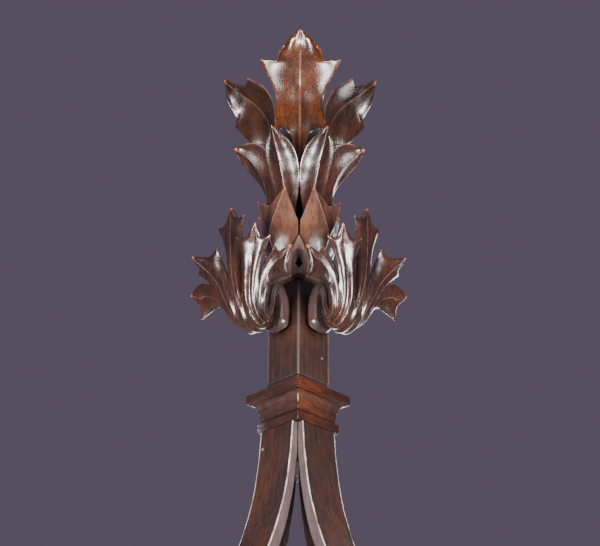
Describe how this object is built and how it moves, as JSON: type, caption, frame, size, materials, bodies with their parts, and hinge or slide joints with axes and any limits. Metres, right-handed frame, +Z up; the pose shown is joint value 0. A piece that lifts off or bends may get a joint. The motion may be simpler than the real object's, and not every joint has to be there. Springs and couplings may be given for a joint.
{
  "type": "carved wooden finial",
  "caption": "Gothic-Revival carved hardwood finial: curved ribs, square post with mitred collar, leafy scroll crockets and a crown of carved leaves.",
  "frame": {"origin": "bottom centre of the bounding box, at the level of the rib feet", "axes": "+Z up along the post, -Y towards the front corner of the post, between the two crockets"},
  "size_m": [0.2542, 0.2284, 0.6926],
  "materials": {
    "joinery_wood": "semi-gloss varnish",
    "carved_wood": "semi-gloss varnish",
    "dowel_wood": "plain",
    "nail_metal": "tarnished"
  },
  "bodies": {
    "root": {"post": "joinery_wood", "rib_front_left": "joinery_wood", "rib_front_right": "joinery_wood", "rib_back_right": "joinery_wood", "rib_back_left": "joinery_wood", "collar_front_left": "joinery_wood", "collar_front_right": "joinery_wood", "collar_back_right": "joinery_wood", "collar_back_left": "joinery_wood", "capital_block": "carved_wood", "bud_core": "carved_wood", "top_leaf_front": "carved_wood", "top_leaf_right": "carved_wood", "top_leaf_back": "carved_wood", "top_leaf_left": "carved_wood", "narrow_leaf_left_side": "carved_wood", "narrow_leaf_left_front": "carved_wood", "narrow_leaf_right_front": "carved_wood", "narrow_leaf_right_side": "carved_wood", "narrow_leaf_right_back": "carved_wood", "narrow_leaf_left_back": "carved_wood", "calyx_leaf_front_left": "carved_wood", "calyx_leaf_front_right": "carved_wood", "calyx_leaf_back_right": "carved_wood", "calyx_leaf_back_left": "carved_wood", "crocket_left": "carved_wood", "crocket_right": "carved_wood", "rib_dowel_front_left": "dowel_wood", "rib_dowel_front_right": "dowel_wood", "rib_dowel_back_right": "dowel_wood", "rib_dowel_back_left": "dowel_wood", "capital_dowel": "dowel_wood", "core_dowel": "dowel_wood", "crocket_dowel_left": "dowel_wood", "crocket_dowel_right": "dowel_wood", "post_plug": "nail_metal", "rib_nail": "nail_metal"}
  },
  "joints": []
}
